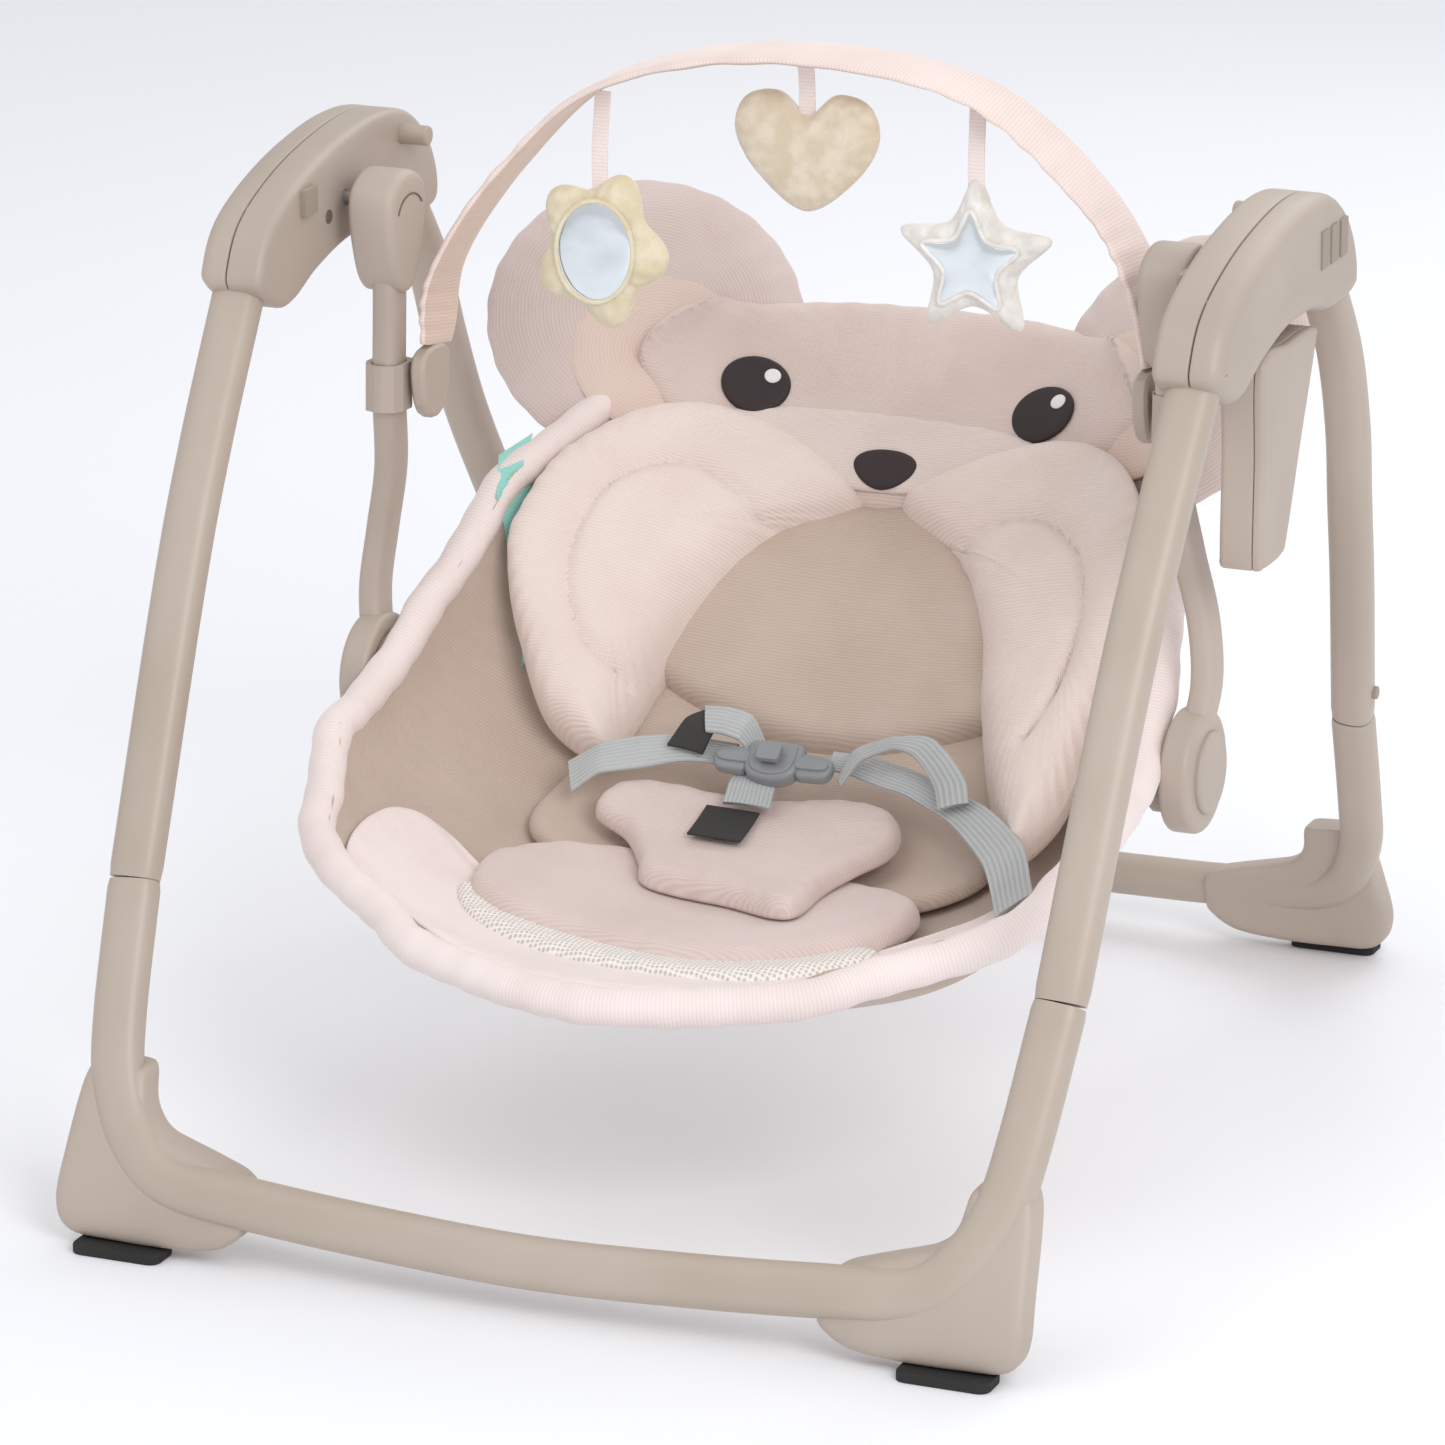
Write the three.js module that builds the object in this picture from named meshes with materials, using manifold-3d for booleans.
// Portable baby swing: a folding A-frame stand, two swing arms, a reclining
// seat with soft goods, a toy bar with three toys, and a motor housing with
// its battery box.  Units are millimetres, +Z is up, the front of the seat faces
// -Y, +X is to the right seen from the front, and the floor is z = 0.

import * as THREE from 'three';
import { mergeVertices } from 'three/addons/utils/BufferGeometryUtils.js';
import Module from 'manifold-3d';

const wasm = await Module();
wasm.setup();

// ---------------------------------------------------------------- dimensions
const GAP = 0.3;                       // clearance between touching pieces
const CENTRE_SHIFT = -5.5;             // moves the whole swing along y once it is built

// stand
const FRONT_TUBE = [30, 22];           // leg section: across, front to back
const REAR_TUBE = [26, 22];
const FOOT_Z = 6;                      // underside of a foot, top of its pad
const PAD = [54, 25, 5.7];             // rubber pad
const FRONT_PATH = [[290, -96, 532], [289, -113, 503], [286, -172, 417], [283, -217, 341],
  [277.5, -291, 190.5]];
const FRONT_BOW = [[277.4, -291.5, 189.5], [271, -326, 123], [264, -343, 88], [248, -357, 60],
  [222, -366, 42], [170, -371, 38], [90, -373, 33], [0, -374, 30]];
const REAR_PIVOT = [289, 84, 522];
const REAR_PATH = [[289, 101, 500], [289, 137, 452], [288, 160, 400], [284, 180, 350],
  [277, 211, 290], [264, 261, 194.5]];
const REAR_BOW = [[263.9, 261.5, 193.5], [258, 298, 128], [250, 328, 90], [234, 350, 60],
  [206, 364, 44], [150, 372, 37], [80, 377, 34], [0, 378, 33]];
const BUTTON = [279, 252, 212];         // snap button on the rear leg's outer face
const REAR_FOLD_HUB = 17;              // radius of the rear leg's knuckle

// hub housings
const HOUSING_SPLIT = 290;             // x of the seam between the two shells
const HOUSING_INNER = 268;
const HOUSING_OUTER = 309;
const HOUSING_WALL = 2.6;

// swing
const SWING_PIVOT = [-20, 527];        // y, z of the swing axis
const SWING_SHAFT_R = 5;
const ARM_PATH = [[241, -20, 496], [241, -20, 470], [243, -18, 411], [248, -6, 365],
  [256, -1, 325], [260, -4, 290], [257, -10, 262]];
const RECLINE_AXIS = [-14, 238];       // y, z of the seat's recline axis
const RECLINE_BOSS_R = 36;
const RING_Z = { left: 416, right: 446 };

// seat: the centre line of the bucket from the top of the back to the front rim
const SEAT_LINE = [[264, 386], [212, 332], [150, 265], [72, 190], [-12, 138], [-105, 119],
  [-205, 126], [-292, 150]];
const SEAT_HALF_WIDTH = [118, 165, 203, 222, 231, 233, 205, 70];
const SEAT_SIDE_HEIGHT = [30, 62, 104, 112, 112, 110, 62, 4];
const RIM_TUBE_R = 6;
const EAR_CENTRE = [163, 178, 416];

// toy bar
const TOY_BAR_TOP = [0, -4, 631];
const TOY_BAR_BAND = [5, 48];

const TOYS = [
  { name: 'toy_flower', centre: [-116, 2, 505], hang: [-116, 6, 590.6], tilt: 0.1 },
  { name: 'toy_heart', centre: [13, 0, 575], hang: [13, -4, 627.5], tilt: 0 },
  { name: 'toy_star', centre: [116, 0, 520], hang: [116, 1, 605], tilt: 0 },
];

// ------------------------------------------------------------------- colours
const TAUPE = 0xb8a898;
const TAUPE_DARK = 0xa39282;
const PINK = 0xf0ddd3;
const ROSE = 0xd9bfb3;
const TAN = 0xc9b3a0;

// ------------------------------------------------------------------- helpers
const v3 = (p) => new THREE.Vector3(p[0], p[1], p[2]);
const mirror = (path) => path.map(([x, y, z]) => [-x, y, z]);
const sideName = { 1: 'right', '-1': 'left' };

function solidOf(geometry) {
  const bare = geometry.index ? geometry.toNonIndexed() : geometry.clone();
  bare.deleteAttribute('normal');
  bare.deleteAttribute('uv');
  const merged = mergeVertices(bare, 1e-4);
  return new wasm.Manifold(new wasm.Mesh({
    numProp: 3,
    vertProperties: new Float32Array(merged.attributes.position.array),
    triVerts: new Uint32Array(merged.index.array),
  }));
}

function geometryOf(solid) {
  const mesh = solid.getMesh();
  const geometry = new THREE.BufferGeometry();
  const points = new Float32Array(mesh.vertProperties);
  geometry.setAttribute('position', new THREE.BufferAttribute(points, 3));
  geometry.setIndex(new THREE.BufferAttribute(new Uint32Array(mesh.triVerts), 1));
  geometry.computeVertexNormals();
  return geometry;
}

function cut(geometry, ...tools) {
  return geometryOf(tools.reduce((left, tool) => left.subtract(solidOf(tool)), solidOf(geometry)));
}

function join(geometry, ...others) {
  return geometryOf(others.reduce((left, other) => left.add(solidOf(other)), solidOf(geometry)));
}

function piece(name, geometry, color, roughness = 0.45, metalness = 0) {
  const mesh = new THREE.Mesh(geometry, new THREE.MeshStandardMaterial({ color, roughness, metalness }));
  mesh.name = name;
  return mesh;
}

// A rounded rectangle, width along the shape's x.
function roundedRect(width, height, radius, turns = 3) {
  const shape = new THREE.Shape();
  const [x, y] = [width / 2 - radius, height / 2 - radius];
  const corners = [[x, y, 0], [-x, y, 1], [-x, -y, 2], [x, -y, 3]];
  const points = corners.flatMap(([cx, cy, quarter]) => Array.from({ length: turns + 1 }, (_, i) => {
    const a = (quarter + i / turns) * Math.PI / 2;
    return new THREE.Vector2(cx + radius * Math.cos(a), cy + radius * Math.sin(a));
  }));
  shape.setFromPoints(points);
  return shape;
}

// A flattened tube carried along a smooth curve through the path's points.
function sweptTube(path, [width, depth], steps, radius = Math.min(width, depth) * 0.42, turns = 2) {
  const curve = new THREE.CatmullRomCurve3(path.map(v3), false, 'centripetal');
  const shape = roundedRect(width, depth, radius, turns);
  return new THREE.ExtrudeGeometry(shape, { steps, extrudePath: curve, bevelEnabled: false });
}

// A side profile in (y, z), extruded along x from x0 to x1, with a rounded edge.
function sideProfile(points, x0, x1, bevel = 0, segments = 2) {
  const shape = new THREE.Shape(points.map(([y, z]) => new THREE.Vector2(y, z)));
  const geometry = new THREE.ExtrudeGeometry(shape, {
    depth: Math.abs(x1 - x0) - 2 * bevel,
    bevelEnabled: bevel > 0,
    bevelThickness: bevel,
    bevelSize: bevel,
    bevelOffset: -bevel,
    bevelSegments: segments,
  });
  const turn = new THREE.Matrix4().set(0, 0, 1, Math.min(x0, x1) + bevel, 1, 0, 0, 0, 0, 1, 0, 0, 0, 0, 0, 1);
  return geometry.applyMatrix4(turn);
}

function smoothLoop(points, count) {
  const curve = new THREE.CatmullRomCurve3(points.map(([y, z]) => new THREE.Vector3(y, z, 0)), true, 'centripetal');
  return curve.getSpacedPoints(count).slice(0, count).map((p) => [p.x, p.y]);
}

const cylinderX = (radius, x0, x1, y, z, sides = 24) => new THREE.CylinderGeometry(radius, radius, Math.abs(x1 - x0), sides)
  .rotateZ(Math.PI / 2).translate((x0 + x1) / 2, y, z);

const block = (x0, x1, y0, y1, z0, z1) => new THREE.BoxGeometry(Math.abs(x1 - x0), y1 - y0, z1 - z0)
  .translate((x0 + x1) / 2, (y0 + y1) / 2, (z0 + z1) / 2);

const softBlock = (width, depth, height, radius) => new THREE.ExtrudeGeometry(
  roundedRect(width, depth, radius),
  { depth: height, bevelEnabled: false },
);

// Piecewise linear reading of a table whose entries lie evenly on 0..1.
function readTable(table, t) {
  const place = THREE.MathUtils.clamp(t, 0, 1) * (table.length - 1);
  const low = Math.min(Math.floor(place), table.length - 2);
  return table[low] + (table[low + 1] - table[low]) * (place - low);
}

// A closed pad between two offset copies of a surface, on a (u, v) grid.
function closedPad(surface, nu, nv, low, high) {
  const points = [];
  [high, low].forEach((height) => {
    for (let i = 0; i <= nu; i += 1) {
      for (let j = 0; j <= nv; j += 1) points.push(...surface(i / nu, j / nv, height));
    }
  });
  const at = (layer, i, j) => layer * (nu + 1) * (nv + 1) + i * (nv + 1) + j;
  const faces = [];
  const quad = (a, b, c, d) => faces.push(a, b, c, a, c, d);
  for (let i = 0; i < nu; i += 1) {
    for (let j = 0; j < nv; j += 1) {
      quad(at(0, i, j), at(0, i, j + 1), at(0, i + 1, j + 1), at(0, i + 1, j));
      quad(at(1, i, j), at(1, i + 1, j), at(1, i + 1, j + 1), at(1, i, j + 1));
    }
    quad(at(0, i, 0), at(0, i + 1, 0), at(1, i + 1, 0), at(1, i, 0));
    quad(at(0, i, nv), at(1, i, nv), at(1, i + 1, nv), at(0, i + 1, nv));
  }
  for (let j = 0; j < nv; j += 1) {
    quad(at(0, 0, j), at(1, 0, j), at(1, 0, j + 1), at(0, 0, j + 1));
    quad(at(0, nu, j), at(0, nu, j + 1), at(1, nu, j + 1), at(1, nu, j));
  }
  const geometry = new THREE.BufferGeometry();
  geometry.setAttribute('position', new THREE.Float32BufferAttribute(points, 3));
  geometry.setIndex(faces);
  if (signedVolume(geometry) < 0) {
    for (let k = 0; k < faces.length; k += 3) [faces[k], faces[k + 1]] = [faces[k + 1], faces[k]];
    geometry.setIndex(faces);
  }
  return geometry;
}

function signedVolume(geometry) {
  const p = geometry.attributes.position;
  const index = geometry.index.array;
  const [a, b, c] = [new THREE.Vector3(), new THREE.Vector3(), new THREE.Vector3()];
  let volume = 0;
  for (let k = 0; k < index.length; k += 3) {
    a.fromBufferAttribute(p, index[k]);
    b.fromBufferAttribute(p, index[k + 1]);
    c.fromBufferAttribute(p, index[k + 2]);
    volume += a.dot(b.cross(c)) / 6;
  }
  return volume;
}

// --------------------------------------------------------------------- stand
function stand() {
  const group = new THREE.Group();
  [-1, 1].forEach((s) => {
    const name = sideName[s];
    const place = (path) => (s > 0 ? path : mirror(path));
    group.add(piece(`front_leg_${name}`, sweptTube(place(FRONT_PATH), FRONT_TUBE, 10), TAUPE));
    group.add(piece(`rear_leg_${name}`, rearLeg(s), TAUPE));
    group.add(piece(`front_foot_${name}`, foot(s, 1), TAUPE));
    group.add(piece(`rear_foot_${name}`, foot(s, -1), TAUPE));
    const pad = softBlock(PAD[0], PAD[1], PAD[2], 6);
    group.add(piece(`front_pad_${name}`, pad.clone().translate(s * 247, -377, 0), 0x2b2b2b, 0.9));
    group.add(piece(`rear_pad_${name}`, pad.clone().translate(s * 217, 388, 0), 0x2b2b2b, 0.9));
    group.add(springButton(`rear_leg_button_${name}`, s));
  });
  group.add(piece('front_base_bow', fullBow(FRONT_BOW, FRONT_TUBE), TAUPE));
  group.add(piece('rear_base_bow', fullBow(REAR_BOW, REAR_TUBE), TAUPE));
  return group;
}

function fullBow(half, tube) {
  const left = mirror(half).slice(0, -1);
  return sweptTube([...left, ...[...half].reverse()], tube, 34);
}

// The rear leg's tube widens into a flat knuckle that turns on the fold pin.
function rearLeg(s) {
  const tube = sweptTube(s > 0 ? REAR_PATH : mirror(REAR_PATH), REAR_TUBE, 10);
  const [x, y, z] = REAR_PIVOT;
  const knuckle = cylinderX(REAR_FOLD_HUB, s * (x - 9), s * (x + 9), y, z);
  const neck = sideProfile([[y - 12, z - 10], [y + 3, z - 34], [y + 26, z - 22], [y + 14, z + 6]], s * (x - 9), s * (x + 9));
  const pocket = cylinderX(4.4, s * (BUTTON[0] - 3.5), s * (BUTTON[0] + 6), BUTTON[1], BUTTON[2], 16);
  return cut(join(tube, knuckle, neck), pocket);
}

// Snap button that stands out of a rear leg's outer face, just above the leg joint.
function springButton(name, s) {
  const [x, y, z] = BUTTON;
  return piece(name, cylinderX(4, s * (x - 1.5), s * (x + 3), y, z, 16), 0x9a9a9a, 0.35, 1);
}

const FOOT_BEVEL = { depth: 27, bevelEnabled: true, bevelThickness: 3, bevelSize: 3, bevelOffset: -3, bevelSegments: 2 };

// Moulded corner foot: a wedge round the bow's bend, sheared back to the leg's rake.
function foot(s, front) {
  const bow = front > 0 ? FRONT_BOW : REAR_BOW;
  const tube = front > 0 ? FRONT_TUBE : REAR_TUBE;
  const outer = front > 0 ? 0 : -33;
  const outline = smoothCorner([[246, 96], [281, 99], [284, 82], [289, 22], [281, FOOT_Z], [219, FOOT_Z],
    [173, 18], [171, 50], [193, 55], [222, 64], [243, 80]]);
  const shape = new THREE.Shape(outline.map(([x, z]) => new THREE.Vector2(x, z)));
  const bar = new THREE.ExtrudeGeometry(shape, FOOT_BEVEL);
  const rake = front > 0 ? -0.516 : 0.62;
  const base = front > 0 ? -373 : 380;
  const p = bar.attributes.position;
  for (let i = 0; i < p.count; i += 1) {
    const [x, z, d] = [p.getX(i) + outer, Math.max(p.getY(i), FOOT_Z), p.getZ(i) - FOOT_BEVEL.depth / 2];
    p.setXYZ(i, x, base + d - rake * Math.max(z - 30, 0), z);
  }
  const halves = mirror(bow).slice(0, -1);
  const tool = sweptTube([...halves, ...[...bow].reverse()], [tube[0] + 0.8, tube[1] + 0.8], 34);
  const open = cut(flip(bar), tool);
  return s > 0 ? open : flip(open.scale(-1, 1, 1));
}

// Turns the winding of a geometry over.
function flip(geometry) {
  const flat = geometry.index ? geometry.toNonIndexed() : geometry.clone();
  const p = flat.attributes.position;
  for (let i = 0; i < p.count; i += 3) {
    const a = new THREE.Vector3().fromBufferAttribute(p, i);
    const b = new THREE.Vector3().fromBufferAttribute(p, i + 1);
    p.setXYZ(i, b.x, b.y, b.z);
    p.setXYZ(i + 1, a.x, a.y, a.z);
  }
  return flat;
}

// Cuts each corner of an outline with one extra point, which keeps it light.
function smoothCorner(points, share = 0.22) {
  return points.flatMap((p, i) => {
    const before = points[(i + points.length - 1) % points.length];
    const after = points[(i + 1) % points.length];
    const mix = (q) => [p[0] + (q[0] - p[0]) * share, p[1] + (q[1] - p[1]) * share];
    return [mix(before), mix(after)];
  });
}

// ------------------------------------------------------------------ housings
const HOUSING_OUTLINE = smoothLoop([[-134, 496], [-133, 511], [-119, 530], [-90, 545], [-45, 558], [15, 566],
  [62, 562], [92, 545], [108, 522], [111, 502], [100, 494], [66, 493], [30, 500], [-15, 500], [-58, 491],
  [-88, 480], [-108, 480]], 34);

function shrink(points, by) {
  const count = points.length;
  return points.map(([y, z], i) => {
    const [ay, az] = points[(i + count - 1) % count];
    const [by2, bz] = points[(i + 1) % count];
    const length = Math.hypot(by2 - ay, bz - az);
    return [y + (bz - az) / length * by, z - (by2 - ay) / length * by];
  });
}

function housings() {
  const group = new THREE.Group();
  const area = HOUSING_OUTLINE.reduce((sum, [y, z], i) => {
    const [y2, z2] = HOUSING_OUTLINE[(i + 1) % HOUSING_OUTLINE.length];
    return sum + y * z2 - y2 * z;
  }, 0);
  const inward = area > 0 ? -HOUSING_WALL : HOUSING_WALL;
  const cavity = shrink(HOUSING_OUTLINE, inward);
  [-1, 1].forEach((s) => {
    const name = sideName[s];
    const legPath = s > 0 ? FRONT_PATH : mirror(FRONT_PATH);
    const legTool = sweptTube(legPath, [FRONT_TUBE[0] + 1.2, FRONT_TUBE[1] + 1.2], 10);
    const swingHole = cylinderX(SWING_SHAFT_R + 0.4, s * 255, s * 300, ...SWING_PIVOT);
    const pinHole = cylinderX(4.4, s * 260, s * 310, REAR_PIVOT[1], REAR_PIVOT[2]);
    const rearMouth = block(s * 274.5, s * 303.5, 56, 115, 470, 508);
    const innerBody = sideProfile(HOUSING_OUTLINE, s * HOUSING_INNER, s * (HOUSING_SPLIT - 0.2), 0);
    const outerBody = sideProfile(HOUSING_OUTLINE, s * (HOUSING_SPLIT + 0.2), s * HOUSING_OUTER, 0);
    const innerHollow = sideProfile(cavity, s * (HOUSING_INNER + HOUSING_WALL), s * (HOUSING_SPLIT + 1), 0);
    const outerHollow = sideProfile(cavity, s * (HOUSING_SPLIT - 1), s * (HOUSING_OUTER - HOUSING_WALL), 0);
    const releaseHole = block(s * 266, s * 272, -82.4, -65.6, 527.6, 544.4);
    let inner = cut(innerBody, innerHollow, legTool, swingHole, pinHole, rearMouth, releaseHole);
    let outer = cut(outerBody, outerHollow, legTool, rearMouth);
    if (s > 0) {
      outer = cut(outer, ...[0, 1, 2].map((i) => block(304, 315, 33.6 + 17 * i, 46.4 + 17 * i, 523.6, 546.4)));
      const wireSlot = block(280, 300, -30, -10, 485, 510);
      inner = cut(inner, wireSlot);
      outer = cut(outer, wireSlot);
    }
    const peg = cylinderX(6, s * 250, s * (HOUSING_INNER + 1), 58, 548, 16);
    group.add(piece(`hub_inner_shell_${name}`, join(inner, peg), TAUPE));
    group.add(piece(`hub_outer_shell_${name}`, outer, TAUPE));
    group.add(piece(`swing_shaft_${name}`, cylinderX(SWING_SHAFT_R, s * 243, s * 287, ...SWING_PIVOT), 0x8f9296, 0.3, 1));
    group.add(piece(`fold_release_button_${name}`, block(s * 264, s * 269.5, -82, -66, 528, 544), TAUPE));
  });
  return group;
}

// --------------------------------------------------------- drive and battery
function drive() {
  const group = new THREE.Group();
  const motor = new THREE.CylinderGeometry(11, 11, 34, 20).translate(291, 27, 534);
  group.add(piece('swing_motor', motor, 0x9a9ca0, 0.35, 1));
  const wheel = cut(cylinderX(15, 275, 281, ...SWING_PIVOT, 28), cylinderX(SWING_SHAFT_R + GAP, 270, 290, ...SWING_PIVOT));
  group.add(piece('drive_gear', wheel, 0xe8e4da, 0.5));
  group.add(piece('control_board', block(300, 301.6, -70, -12, 512, 540), 0x2f6b45, 0.6));
  [0, 1, 2].forEach((i) => {
    const y = 34 + 17 * i;
    group.add(piece(`control_button_${i + 1}`, block(305.6, 310.6, y, y + 12, 524, 546), TAUPE_DARK));
  });
  return group;
}

const BATTERY_X = [279, 303];
const BATTERY_OUTLINE = [[-46, 489], [-46, 374], [-40, 369], [-10, 369], [-1, 376], [44, 478], [44, 489]];
const BATTERY_CAVITY = [[-43, 480], [-43, 377], [-38, 372], [-11, 372], [-4, 378], [40, 476], [40, 480]];

function batteryBox() {
  const group = new THREE.Group();
  const [x0, x1] = BATTERY_X;
  const shell = cut(
    sideProfile(BATTERY_OUTLINE, x0, x1 - 4.2),
    sideProfile(BATTERY_CAVITY, x0 + 2.4, x1),
  );
  group.add(piece('battery_box', shell, TAUPE_DARK));
  group.add(piece('battery_door', sideProfile(BATTERY_OUTLINE, x1 - 3.9, x1 + 2, 1), TAUPE));
  [[-35, 404], [-20, 404], [-30, 454.5], [-15, 454.5]].forEach(([y, z], i) => {
    const cell = new THREE.CylinderGeometry(7, 7, 50, 14).rotateX(Math.PI / 2).translate(290, y, z);
    group.add(piece(`battery_${i + 1}`, cell, 0x3c4a55, 0.4, 0.6));
  });
  return group;
}

// ----------------------------------------------------------------- swing arms
function swingArms() {
  const group = new THREE.Group();
  [-1, 1].forEach((s) => {
    const name = sideName[s];
    const path = s > 0 ? ARM_PATH : mirror(ARM_PATH);
    const tube = sweptTube(path, [16, 24], 14);
    const [py, pz] = SWING_PIVOT;
    const head = sideProfile(smoothLoop([[py, pz + 19], [py + 21, pz + 11], [py + 25, pz - 8], [py + 15, pz - 42],
      [py, pz - 54], [py - 15, pz - 42], [py - 25, pz - 8], [py - 21, pz + 11]], 20), s * 227, s * 256, 5);
    const bore = cylinderX(SWING_SHAFT_R + GAP, s * 242, s * 262, py, pz);
    const [hy, hz] = RECLINE_AXIS;
    const boss = cylinderX(RECLINE_BOSS_R, s * 247, s * 265, hy, hz, 28);
    const pinBore = cylinderX(6.3, s * 244, s * 257, hy, hz);
    group.add(piece(`swing_arm_${name}`, cut(join(tube, head, boss), bore, pinBore), TAUPE));
    group.add(piece(`hub_cap_${name}`, cylinderX(24, s * 265.3, s * 268.3, hy, hz, 24), TAUPE));
  });
  return group;
}

// ------------------------------------------------------------------- toy bar
function toyBar() {
  const group = new THREE.Group();
  [-1, 1].forEach((s) => {
    const name = sideName[s];
    const z = RING_Z[name];
    const along = s > 0 ? ARM_PATH : mirror(ARM_PATH);
    const ringPath = [[s * 243, -18.5, z - 14], [s * 243, -17.5, z + 14]];
    const sleeve = sweptTube(ringPath, [24, 32], 1);
    const inside = sweptTube(along, [17.2, 25.2], 14);
    const lug = cylinderX(8, s * 228, s * 236, -4, z);
    group.add(piece(`toy_bar_clamp_${name}`, cut(join(sleeve, lug), inside), TAUPE_DARK));
    const paddle = sideProfile(smoothLoop([[-21, z + 19], [13, z + 19], [13, z - 6], [7, z - 17], [-4, z - 21],
      [-15, z - 17], [-21, z - 6]], 18), s * 218, s * 227.6, 2, 1);
    group.add(piece(`toy_bar_holder_${name}`, paddle, TAUPE_DARK));
  });
  const [lz, rz] = [RING_Z.left + 24.5, RING_Z.right + 24.5];
  const path = [[-223, 5, lz], [-217, 12, lz + 45], [-175, 15, 549], [-110, 8, 604], TOY_BAR_TOP,
    [110, 2, 618], [180, 12, 563], [212, 10, 516], [223, 5, rz]];
  group.add(piece('toy_bar', sweptTube(path, TOY_BAR_BAND, 30, 2.2, 1), PINK, 0.8));
  return group;
}

// ---------------------------------------------------------------------- toys
// Each toy is a flat padded shape on a ribbon that hangs from the bar.
function toys() {
  const group = new THREE.Group();
  const flower = Array.from({ length: 20 }, (_, i) => {
    const a = i / 20 * 2 * Math.PI;
    const r = 37 + 5 * Math.cos(5 * a);
    return [r * Math.cos(a), 1.12 * r * Math.sin(a)];
  });
  const heart = smoothLoop([[0, 20], [18, 33], [38, 28], [44, 8], [30, -16], [0, -36], [-30, -16], [-44, 8], [-38, 28], [-18, 33]], 24);
  const star = Array.from({ length: 10 }, (_, i) => {
    const a = (i / 10 + 0.25) * 2 * Math.PI;
    const r = i % 2 ? 27 : 48;
    return [r * Math.cos(a), r * Math.sin(a)];
  });
  TOYS.forEach(({ name, centre, hang, tilt }, i) => {
    const outline = [flower, heart, smoothLoop(star, 30)][i];
    const shape = new THREE.Shape(outline.map(([x, z]) => new THREE.Vector2(x, z)));
    const options = { depth: 14, bevelEnabled: true, bevelThickness: 4, bevelSize: 4, bevelOffset: -4, bevelSegments: 1 };
    const body = new THREE.ExtrudeGeometry(shape, options).translate(0, 0, -7)
      .rotateX(Math.PI / 2).rotateY(tilt).translate(...centre);
    const top = hang[2] - centre[2];
    const ribbon = block(-6, 6, -1, 1, 15, top).translate(...centre);
    group.add(piece(name, join(body, ribbon), [0xdfd0a8, 0xd9c9ae, 0xe8e4de][i], 0.9));
  });
  return group;
}

// ---------------------------------------------------------------------- seat
// A point of the bucket: u runs from the top of the back to the front rim, v across,
// and height is the distance above the fabric's underside.
const seatCurve = new THREE.CatmullRomCurve3(SEAT_LINE.map(([y, z]) => new THREE.Vector3(0, y, z)), false, 'centripetal');

function seatPoint(u, v, height, inset = 0) {
  const centre = seatCurve.getPoint(THREE.MathUtils.clamp(u, 0, 1));
  const along = seatCurve.getTangent(THREE.MathUtils.clamp(u, 0, 1));
  const angle = (v * 2 - 1) * Math.PI / 2;
  const width = readTable(SEAT_HALF_WIDTH, u) - inset - height * Math.abs(Math.sin(angle)) * 0.9;
  const rise = readTable(SEAT_SIDE_HEIGHT, u) * (1 - Math.cos(angle)) + height * (1 - 0.7 * Math.abs(Math.sin(angle)));
  return [width * Math.sin(angle), centre.y + along.z * rise, centre.z - along.y * rise];
}

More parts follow.
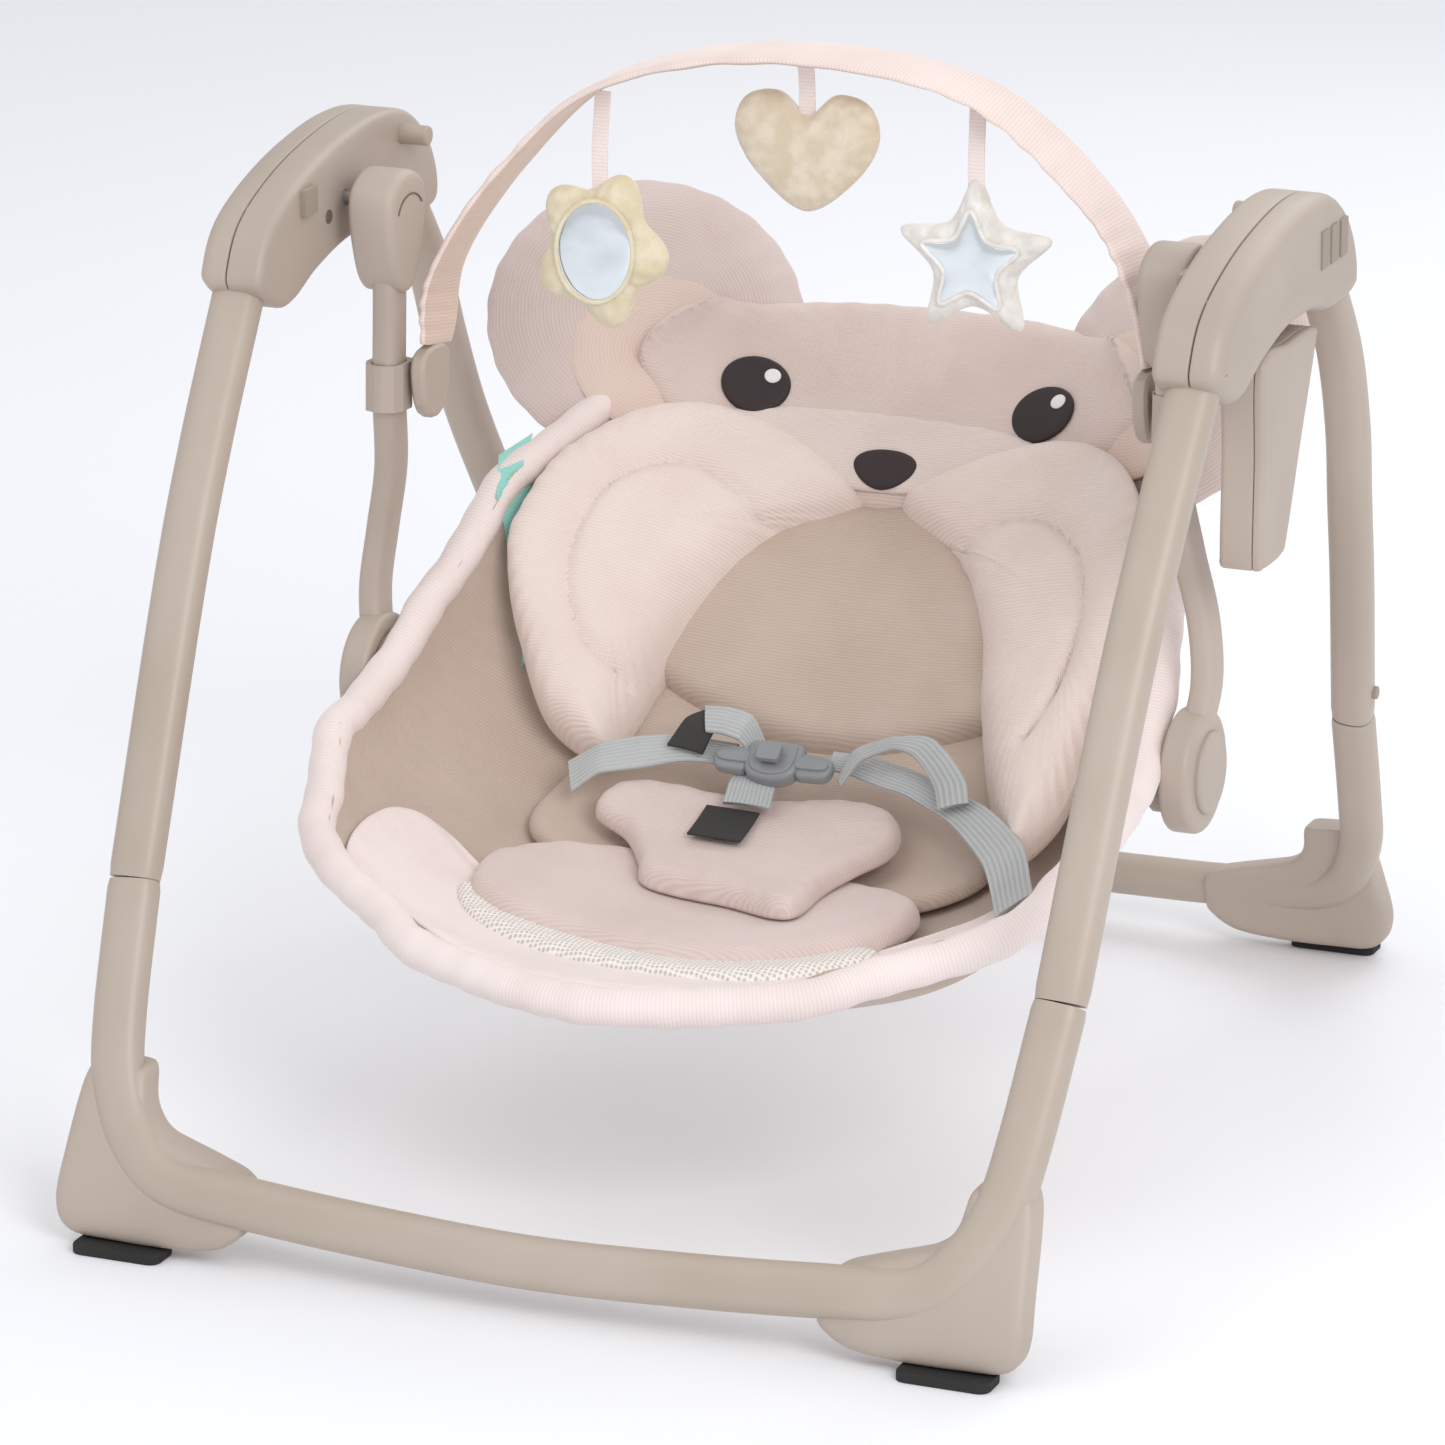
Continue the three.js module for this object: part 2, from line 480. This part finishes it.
function seat() {
  const group = new THREE.Group();
  const shell = closedPad((u, v, h) => seatPoint(u, v, h), 18, 12, 0, 7);
  group.add(piece('seat_shell', shell, TAN, 0.9));
  const band = (u0, u1, v0, v1) => (u, v, h) => seatPoint(u0 + (u1 - u0) * u, v0 + (v1 - v0) * v, h);
  group.add(piece('body_insert', closedPad(band(0.2, 0.77, 0.16, 0.84), 10, 8, 14, 36), 0xe9d5c8, 0.9));
  group.add(piece('head_pad', closedPad(band(0.0, 0.185, 0.2, 0.8), 5, 8, 14, 40), 0xdcc5b8, 0.9));
  [-1, 1].forEach((s) => {
    const name = sideName[s];
    const ear = new THREE.SphereGeometry(1, 18, 10).scale(97, 17, 91).rotateX(-0.6).rotateZ(-s * 0.5)
      .translate(s * EAR_CENTRE[0], EAR_CENTRE[1], EAR_CENTRE[2]);
    const pocket = [rimTube(0.4, 0, GAP), closedPad((u, v, h) => seatPoint(u, v, h), 18, 12, -GAP, 7 + GAP),
      closedPad(band(0.0, 0.185, 0.2, 0.8), 5, 8, 14 - GAP, 40 + GAP)];
    group.add(piece(`ear_pad_${name}`, cut(ear, ...pocket), ROSE, 0.9));
    const [hy, hz] = RECLINE_AXIS;
    const hub = join(cylinderX(26, s * 236, s * 246.6, hy, hz, 28), cylinderX(6, s * 245, s * 256, hy, hz, 16));
    group.add(piece(`recline_hub_${name}`, hub, TAUPE_DARK));
  });
  group.add(piece('seat_rim_front', rimTube(0.56, 1), 0x9a9ca0, 0.35, 1));
  group.add(piece('seat_rim_back', rimTube(0.4, 0), 0x9a9ca0, 0.35, 1));
  const crotch = new THREE.ExtrudeGeometry(
    new THREE.Shape(smoothCorner([[-8, 8], [8, 8], [64, 14], [66, 4], [30, -40], [0, -52], [-30, -40], [-66, 4], [-64, 14]])
      .map(([x, y]) => new THREE.Vector2(x, y))),
    { depth: 8, bevelEnabled: true, bevelThickness: 3, bevelSize: 3, bevelOffset: -3, bevelSegments: 1 },
  ).rotateX(0.62).translate(0, -28, 191);
  group.add(piece('crotch_pad', crotch, ROSE, 0.9));
  const place = (geometry) => geometry.rotateX(0.62).translate(0, -17, 211.5);
  const buckle = cut(softBlock(34, 26, 11, 5), softBlock(15, 13, 6, 2.4).translate(0, 0, 8));
  group.add(piece('harness_buckle', place(buckle), 0x8a8c8e, 0.5));
  group.add(piece('buckle_button', place(softBlock(14, 12, 3.4, 2).translate(0, 0, 10)), 0x7b7d80, 0.5));
  return group;
}

// The steel rim follows the bucket's edge just outside the fabric, from hub to hub.
function rimTube(from, to, swell = 0) {
  const half = Array.from({ length: 8 }, (_, i) => {
    const u = from + (to - from) * i / 7;
    const [x, y, z] = seatPoint(u, 1, 0, 0);
    const [, yb, zb] = seatPoint(u, 1, 10, 0);
    const end = i === 7 ? 1 : 0;
    const out = to > from ? -9 * end : 9 * end;
    return [x + 9.5, y - (yb - y) * 0.8 + out, z - (zb - z) * 0.7 + (to < from ? 9 * end : 0)];
  });
  const path = [...mirror(half), ...half.reverse()];
  const size = 2 * (RIM_TUBE_R + swell);
  return sweptTube(path, [size, size], 30, RIM_TUBE_R - 0.1, 2);
}

// ----------------------------------------------------------------------- run
const group = new THREE.Group();
group.add(stand(), housings(), drive(), batteryBox(), swingArms(), toyBar(), toys(), seat());
group.position.set(0, CENTRE_SHIFT, 0);   // puts the origin under the middle of the footprint
export default group;
